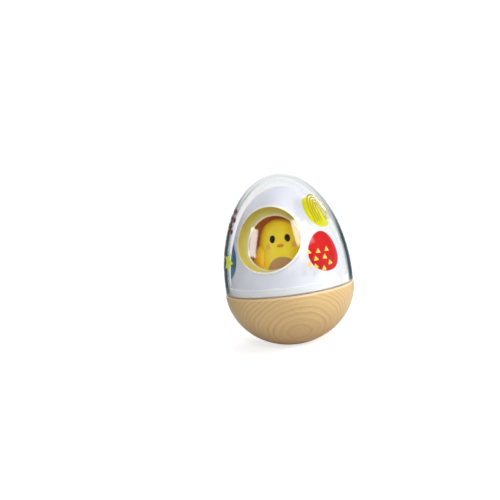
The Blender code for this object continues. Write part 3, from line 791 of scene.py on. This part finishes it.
seatSizes = {"width": 0.0014, "edge": 0.00015, "steps": 192}
seatLow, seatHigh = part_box("dome_seat_ring")
seatEdge = seatSizes["edge"]
seatInner, seatOuter = seatHigh.x - seatSizes["width"] + seatEdge, seatHigh.x - seatEdge
seatPoints = []
for r, z, start in ((seatInner, seatHigh.z - seatEdge, 180), (seatOuter, seatHigh.z - seatEdge, 90),
                    (seatOuter, seatLow.z + seatEdge, 0), (seatInner, seatLow.z + seatEdge, -90)):
    seatPoints += arc((r, z), seatEdge, start, start - 90, 3)
seatRing = turned("domeSeatRing", seatPoints, seatGrey, seatSizes["steps"], closed=True)
finishPiece(seatRing, "seat_ring", "seat_ring", "dome_seat_ring")
print("dome made")


# prints: thin ink films, sketched flat and wrapped on shell or dome

filmSizes = {"lift": 0.00002, "thick": 0.00006, "eggRings": 10, "motifRings": 3}
filmLow, filmHigh = filmSizes["lift"], filmSizes["lift"] + filmSizes["thick"]


def film(outline, rings):  # a closed film over an outline that its middle sees all of
    shape = bmesh.new()
    corners = [(k, (k + 1) % len(outline)) for k in range(len(outline))]
    sides = []
    for z in (filmLow, filmHigh):
        middle = shape.verts.new((0.0, 0.0, z))
        grid = []
        for share in [i / rings for i in range(1, rings + 1)]:
            grid.append([shape.verts.new((x * share, y * share, z)) for x, y in outline])
        for k, n in corners:
            shape.faces.new((middle, grid[0][k], grid[0][n]))
            for inner, outer in zip(grid, grid[1:]):
                shape.faces.new((inner[k], outer[k], outer[n], inner[n]))
        sides.append(grid[-1])
    for k, n in corners:
        shape.faces.new((sides[0][k], sides[0][n], sides[1][n], sides[1][k]))
    return meshFrom("film", shape, outward=True)


def ribbonFilm(paths, width, tip):  # tip is the share of the width at the ends
    shape = bmesh.new()
    for path in paths:
        rows = []
        for i, (x, y) in enumerate(path):
            x1, y1 = path[max(i - 1, 0)]
            x2, y2 = path[min(i + 1, len(path) - 1)]
            half = width / 2 * (tip + (1 - tip) * math.sin(math.pi * (i + 0.5) / len(path)) ** 0.5)
            reach = half / math.hypot(x2 - x1, y2 - y1)
            nx, ny = (y1 - y2) * reach, (x2 - x1) * reach
            rows.append([shape.verts.new((x + nx * s, y + ny * s, z)) for s, z in
                         ((-1, filmLow), (1, filmLow), (1, filmHigh), (-1, filmHigh))])
        for a, b in zip(rows, rows[1:]):
            for k, n in ((0, 1), (1, 2), (2, 3), (3, 0)):
                shape.faces.new((a[k], b[k], b[n], a[n]))
        shape.faces.new(rows[0])
        shape.faces.new(rows[-1][::-1])
    return meshFrom("ribbons", shape, outward=True)


def eggOutline(wide, tall, lean, taper=0.13, count=72):  # half sizes, narrower at the top
    points = []
    for angle in [2 * math.pi * i / count for i in range(count)]:
        y = tall * math.sin(angle)
        x = wide * math.cos(angle) * (1 - taper * math.sin(angle))
        points.append((x * math.cos(lean) + y * math.sin(lean), y * math.cos(lean) - x * math.sin(lean)))
    return points


def roundOutline(radius, count):  # one point at the top
    return arc((0.0, 0.0), radius, 90, 450, count)[:-1]


def starOutline(radius, inner, points=5):  # one point to the right
    outline = []
    for i in range(2 * points):
        angle = math.pi * i / points
        reach = radius if i % 2 == 0 else inner
        outline.append((reach * math.cos(angle), reach * math.sin(angle)))
    return outline


def fineOutline(outline, times):  # extra points along straight sides
    points = []
    for (x1, y1), (x2, y2) in zip(outline, outline[1:] + outline[:1]):
        points += [(x1 + (x2 - x1) * i / times, y1 + (y2 - y1) * i / times) for i in range(times)]
    return points


# azimuth, height, half width, half height, lean, ink
shellPrints = {"red": (63.7, 0.0284, 0.0145, 0.0152, 8, inkRed),
               "blue": (-61.5, 0.0260, 0.0146, 0.0138, -8, inkBlue),
               "lemon": (81.2, 0.0570, 0.0127, 0.0138, -6, inkLemon),
               "coral": (-83.0, 0.0570, 0.0112, 0.0138, 6, inkCoral),
               "lemonBack": (180.0, 0.0280, 0.0140, 0.0152, 0, inkLemon),
               "blueBack": (140.0, 0.0550, 0.0112, 0.0138, 8, inkBlue),
               "redBack": (-140.0, 0.0550, 0.0112, 0.0138, -8, inkRed)}
for label, (azimuth, height, wide, tall, lean, ink) in shellPrints.items():
    sketch = film(eggOutline(wide, tall, math.radians(lean)), filmSizes["eggRings"])
    printed = throughTree("eggPrint" + label.capitalize(), sketch, wrap,
                          eggPlace(shellEgg, azimuth, height, Finish=ink))
    finishPiece(printed, "shell", "white_shell")

# places in millimetres from the middle of each group
trianglePlaces = [(6.7, 5.2), (-1.2, 5.0), (-9.1, 5.8), (3.6, -0.1), (-4.3, -0.1), (7.6, -4.9), (-10.8, -3.2),
                  (-5.6, -5.7), (1.1, -8.3)]
dotPlaces = [(-3.0, 10.0), (3.5, 9.0), (-6.5, 4.5), (0.0, 3.5), (6.5, 2.5), (-3.5, -2.0), (3.0, -2.5),
             (-0.5, -7.5), (7.0, -6.5)]
starPlaces = [(-9.0, 6.0), (-8.0, -6.0), (-17.0, 1.0)]
starPlacesBack = [(-6.0, 3.0), (5.0, 5.0), (1.0, -5.0)]
triangle = fineOutline(roundOutline(0.0024, 3), 4)
dot = roundOutline(0.0019, 20)
star = fineOutline(starOutline(0.0082, 0.0038), 4)
smallStar = fineOutline(starOutline(0.0048, 0.0022), 3)
# places, outline, ink, azimuth, height, largest turn, seed
domePrints = {"triangles": (trianglePlaces, triangle, inkGold, 52.2, 0.0250, 9, 4),
              "trianglesBack": (trianglePlaces, triangle, inkGold, -140.0, 0.0520, 9, 7),
              "dots": (dotPlaces, dot, inkMaroon, -54.5, 0.0560, 0, 1),
              "star": ([(-0.5, -0.9)], star, inkLime, -45.0, 0.0280, 0, 1),
              "smallStars": (starPlaces, smallStar, inkLime, -62.0, 0.0275, 15, 2),
              "smallStarsBack": (starPlacesBack, smallStar, inkLime, 140.0, 0.0530, 15, 5)}
for name, (places, outline, ink, azimuth, height, turn, seed) in domePrints.items():
    sketch = bpy.data.meshes.new("sketchPoints")
    sketch.from_pydata([(x / 1000, y / 1000, 0.0) for x, y in places], [], [])
    motif = linkPiece("motif", film(outline, filmSizes["motifRings"]))
    printed = throughTree(name, sketch, scatter, eggPlace(
        domeEgg, azimuth, height, Finish=ink, Motif=motif, Turn=math.radians(turn), Seed=seed))
    bpy.data.objects.remove(motif, do_unlink=True)
    finishPiece(printed, "dome", "clear_dome")

archSizes = {"count": 4, "wide": 0.0092, "tall": 0.0125, "low": -0.0095, "least": 0.55, "bow": 0.6,
             "steps": 40, "line": 0.0014, "tip": 0.45}


def arches(size):  # nested arches, like bent ribs of a melon
    paths = []
    for share in [(k + 1) / size["count"] for k in range(size["count"])]:
        rise = (size["tall"] - size["low"]) * (size["least"] + (1 - size["least"]) * share)
        path = []
        for angle in [math.pi * i / size["steps"] for i in range(size["steps"] + 1)]:
            path.append((size["wide"] * share * math.cos(angle),
                         size["low"] + rise * math.sin(angle) ** size["bow"]))
        paths.append(path)
    return paths


for name, azimuth, height in (("arches", 70.0, 0.0600), ("archesBack", 170.0, 0.0280)):
    sketch = ribbonFilm(arches(archSizes), archSizes["line"], archSizes["tip"])
    printed = throughTree(name, sketch, wrap, eggPlace(domeEgg, azimuth, height, Finish=inkOlive))
    finishPiece(printed, "dome", "clear_dome")
print("prints wrapped")


# floor, studio light and camera

view = {"azimuth": 20.0, "elevation": 9.0, "lean": -7.35, "distance": 1.0, "frame": 500, "focal": 1284.9,
        "rimPixel": (289.61, 286.31), "sensor": 36.0, "nearest": 0.01}


def makeCamera():  # leans, and swings so that the rim's middle lies on its pixel
    back = towards(view["azimuth"], view["elevation"])
    right = towards(view["azimuth"] + 90.0, 0.0)
    lean = Matrix.Rotation(math.radians(view["lean"]), 3, "Z")
    facing = Matrix((right, back.cross(right), back)).transposed() @ lean
    half = view["frame"] / 2
    aim = Vector((view["rimPixel"][0] - half, half - view["rimPixel"][1], -view["focal"]))
    swing = aim.normalized().rotation_difference(-upward)
    camera = bpy.data.objects.new("camera", bpy.data.cameras.new("camera"))
    camera.data.sensor_width = view["sensor"]
    camera.data.lens = view["focal"] / view["frame"] * view["sensor"]
    camera.data.clip_start = view["nearest"]
    camera.location = upward * rim + back * view["distance"]
    camera.rotation_mode = "QUATERNION"
    camera.rotation_quaternion = facing.to_quaternion() @ swing
    bpy.context.scene.collection.objects.link(camera)
    bpy.context.scene.camera = camera


# azimuth, elevation, distance, width, height, power, use, share of the size that fades at each edge
lights = {"rightBox": (53.3, 30.5, 1.0, 0.36, 0.44, 3.7, "mirror", 0.14),
          "rightVeil": (69.0, 26.5, 1.0, 0.46, 0.36, 1.45, "mirror", 0.16),
          "leftBox": (-44.6, 22, 1.0, 0.28, 0.38, 2.65, "mirror", 0.05),
          "backStrip": (150, 24, 0.9, 0.08, 0.20, 0.5, "mirror", 0.05),
          "topBox": (70, 70, 1.1, 0.6, 0.6, 2.6, "light", 0.0),
          "frontBox": (12, 30, 1.2, 0.4, 0.4, 5.6, "light", 0.0),
          "lowBox": (22, 7, 1.3, 0.3, 0.3, 2.1, "light", 0.0),
          "sideBox": (97, 10, 1.0, 0.5, 0.5, 4.0, "light", 0.0),
          "keySpot": (97, 24, 1.0, 0.10, 0.10, 3.8, "light", 0.0),
          "backBox": (-135, 32, 1.2, 0.6, 0.6, 9.0, "light", 0.0)}
lightLook = {"mirrorTint": (0.94, 1.0, 0.97), "aimHeight": 0.06}


def softEdges(lamp, share):
    lamp.use_nodes = True
    axes = parts(node("ShaderNodeNewGeometry", {}, lamp.node_tree)["Parametric"])
    fades = []
    for axis in ("X", "Y"):
        off = maths("ABSOLUTE", maths("SUBTRACT", axes[axis], 0.5))
        fades.append(spread(off, 1.0, 0.0, 0.5 - share, 0.5))
    feed(lamp.node_tree.nodes["Emission"], "Strength", maths("MULTIPLY", *fades))


def makeLights():  # some are only seen in gloss, the others only light things
    for name, (azimuth, elevation, distance, wide, tall, power, use, soft) in lights.items():
        lamp = bpy.data.lights.new(name, "AREA")
        lamp.shape = "RECTANGLE"
        lamp.size, lamp.size_y, lamp.energy = wide, tall, power
        if use == "mirror":
            lamp.color = lightLook["mirrorTint"]
        if soft:
            softEdges(lamp, soft)
        made = bpy.data.objects.new(name, lamp)
        way = towards(azimuth, elevation)
        made.location = upward * lightLook["aimHeight"] + way * distance
        made.rotation_euler = way.to_track_quat("Z", "Y").to_euler()
        made.visible_camera = False
        made.visible_glossy = made.visible_transmission = use != "light"
        made.visible_diffuse = use != "mirror"
        bpy.context.scene.collection.objects.link(made)


worldLook = {"seen": 1.12, "fill": 0.13, "bounce": 0.38, "level": 0.1, "card": (0.055, 0.080, 0.092, 1.0),
             "cardNear": math.radians(15), "nearSoft": 0.03, "cardFar": math.radians(42), "farSoft": 0.05,
             "cardLean": 0.6, "leftTop": 0.21, "rightTop": 0.10, "bottom": -0.24, "soft": 0.09,
             "sideSoft": 0.1, "faint": 0.45, "faintTop": 0.24, "faintSoft": 0.03, "swing": 14.0,
             "backFrom": 0.55, "backTo": 0.72, "overhead": 0.74, "overheadFrom": 0.12, "overheadTo": 0.34}


def edgeAt(value, place, soft, low=0.0, high=1.0):
    return spread(value, low, high, place - soft, place + soft)


def makeWorld():  # white all round, with a dark card each side behind the toy
    look = worldLook
    world = bpy.data.worlds.new("studio")
    world.use_nodes = True
    bpy.context.scene.world = world
    tree = world.node_tree
    way = node("ShaderNodeTexCoord", {}, tree)["Generated"]
    height = parts(way)["Z"]
    back = -towards(view["azimuth"], 0.0)
    ahead = vectorMaths("DOT_PRODUCT", way, back)
    aside = vectorMaths("DOT_PRODUCT", way, back.cross(upward))
    bearing = maths("ABSOLUTE", maths("ARCTAN2", aside, ahead))
    leant = maths("MULTIPLY_ADD", maths("MAXIMUM", height, 0.0), look["cardLean"], bearing)
    inner = edgeAt(leant, look["cardNear"], look["nearSoft"])
    outer = edgeAt(bearing, look["cardFar"], look["farSoft"], 1.0, 0.0)
    right = edgeAt(aside, 0.0, look["sideSoft"])
    top = spread(right, look["leftTop"], look["rightTop"], 0.0, 1.0)
    dark = edgeAt(maths("SUBTRACT", height, top), 0.0, look["soft"], 1.0, 0.0)
    faint = edgeAt(height, look["faintTop"], look["faintSoft"], look["faint"], 0.0)
    under = maths("MAXIMUM", dark, maths("MULTIPLY", faint, right))
    over = edgeAt(height, look["bottom"], look["soft"])
    card = maths("MULTIPLY", maths("MULTIPLY", inner, outer), maths("MULTIPLY", under, over))
    path = node("ShaderNodeLightPath", {}, tree)
    straight = maths("LESS_THAN", path["Glossy Depth"], 0.5)
    behind = vectorMaths("DOT_PRODUCT", way, -towards(view["azimuth"] - look["swing"], 0.0))
    mirrored = spread(behind, 0.0, 1.0, look["backFrom"], look["backTo"])
    overhead = spread(height, 1.0, look["overhead"], look["overheadFrom"], look["overheadTo"])
    backdrop = maths("MAXIMUM", straight, maths("MULTIPLY", overhead, mirrored))
    clear = maths("MULTIPLY", backdrop, maths("SUBTRACT", 1.0, path["Is Diffuse Ray"]))
    fill = edgeAt(height, 0.0, look["level"], look["bounce"], look["fill"])
    feed(tree.nodes["Background"], "Strength", spread(clear, fill, look["seen"], 0.0, 1.0))
    masked = maths("MULTIPLY", card, maths("SUBTRACT", 1.0, path["Is Camera Ray"]))
    feed(tree.nodes["Background"], "Color", blendColour(masked, (1.0, 1.0, 1.0, 1.0), look["card"]))


floorLook = {"radius": 0.6, "drop": 0.0002, "fadeNear": 0.035, "fadeFar": 0.10, "glow": 0.68,
             "sheet": {"Base Color": (0.60, 0.60, 0.61, 1.0), "Roughness": 0.8,
                       "Emission Color": (1.0, 1.0, 1.0, 1.0)}}


def makeFloor():  # pale sheet that fades into the white all round
    look = floorLook
    shape = bmesh.new()
    bmesh.ops.create_circle(shape, cap_ends=True, segments=96, radius=look["radius"])
    floor = linkPiece("floor", meshFrom("floor", shape))
    floor.location.z = -look["drop"]
    finish, tree, shader, coords = newFinish("paleFloor", **look["sheet"])
    seen = node("ShaderNodeLightPath", {}, tree)["Is Camera Ray"]
    feed(shader, "Emission Strength", maths("MULTIPLY", seen, look["glow"]))
    reach = vectorMaths("LENGTH", coords)
    feed(shader, "Alpha", spread(reach, 1.0, 0.0, look["fadeNear"], look["fadeFar"]))
    floor.data.materials.append(finish)
    spared = bpy.data.collections.new("sparedByBackBox")
    spared.objects.link(floor)
    spared.collection_objects[0].light_linking.link_state = "EXCLUDE"
    bpy.data.objects["backBox"].light_linking.receiver_collection = spared


makeCamera()
makeLights()
makeWorld()
makeFloor()
bpy.context.scene.view_settings.view_transform = "Standard"
print("studio set")
